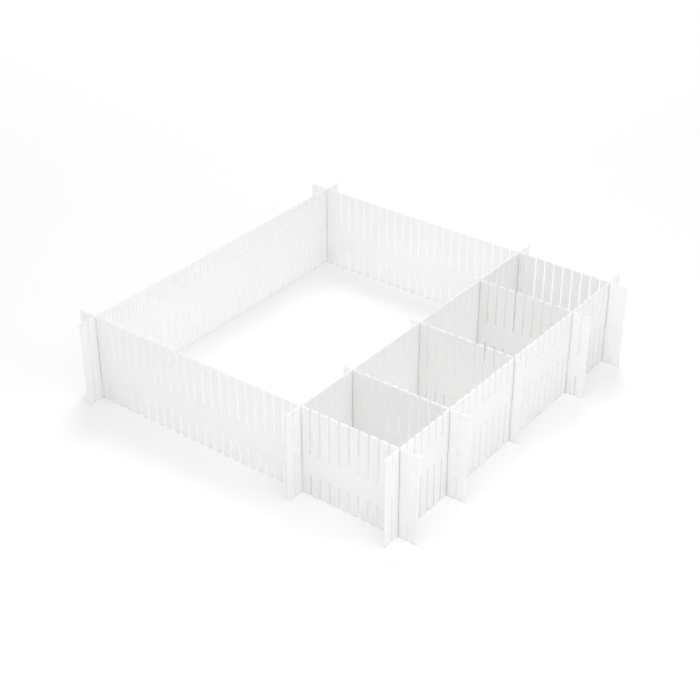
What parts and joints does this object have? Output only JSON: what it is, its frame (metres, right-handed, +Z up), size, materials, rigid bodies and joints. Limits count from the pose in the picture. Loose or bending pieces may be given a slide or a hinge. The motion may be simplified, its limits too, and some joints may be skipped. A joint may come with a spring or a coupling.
{
  "type": "drawer organizer insert",
  "caption": "Adjustable drawer organizer of interlocking slotted plastic strips: one large bay beside a column of small compartments, open at top and bottom.",
  "frame": {"origin": "centre of the footprint, on the surface that the insert stands on", "axes": "+X along the front wall from the large bay to the small compartments, +Y from the front wall to the back wall, +Z up"},
  "size_m": [0.3026, 0.3026, 0.07],
  "materials": {
    "white_plastic": "satin"
  },
  "bodies": {
    "front_wall": {"front_wall": "white_plastic"},
    "back_wall": {"back_wall": "white_plastic"},
    "left_wall": {"left_wall": "white_plastic"},
    "middle_wall": {"middle_wall": "white_plastic"},
    "right_wall": {"right_wall": "white_plastic"},
    "front_divider": {"front_divider": "white_plastic"},
    "centre_divider": {"centre_divider": "white_plastic"},
    "rear_divider": {"rear_divider": "white_plastic"}
  },
  "joints": [
    {"name": "left_wall_lift", "type": "slide", "parent": "front_wall", "child": "left_wall", "axis": [0, 0, 1], "range_m": [0, 0.072]},
    {"name": "middle_wall_lift", "type": "slide", "parent": "front_wall", "child": "middle_wall", "axis": [0, 0, 1], "range_m": [0, 0.072]},
    {"name": "right_wall_lift", "type": "slide", "parent": "front_wall", "child": "right_wall", "axis": [0, 0, 1], "range_m": [0, 0.072]},
    {"name": "back_wall_drop", "type": "slide", "parent": "front_wall", "child": "back_wall", "axis": [0, 0, 1], "range_m": [-0.072, 0]},
    {"name": "front_divider_drop", "type": "slide", "parent": "front_wall", "child": "front_divider", "axis": [0, 0, 1], "range_m": [-0.072, 0]},
    {"name": "centre_divider_drop", "type": "slide", "parent": "front_wall", "child": "centre_divider", "axis": [0, 0, 1], "range_m": [-0.072, 0]},
    {"name": "rear_divider_drop", "type": "slide", "parent": "front_wall", "child": "rear_divider", "axis": [0, 0, 1], "range_m": [-0.072, 0]}
  ]
}
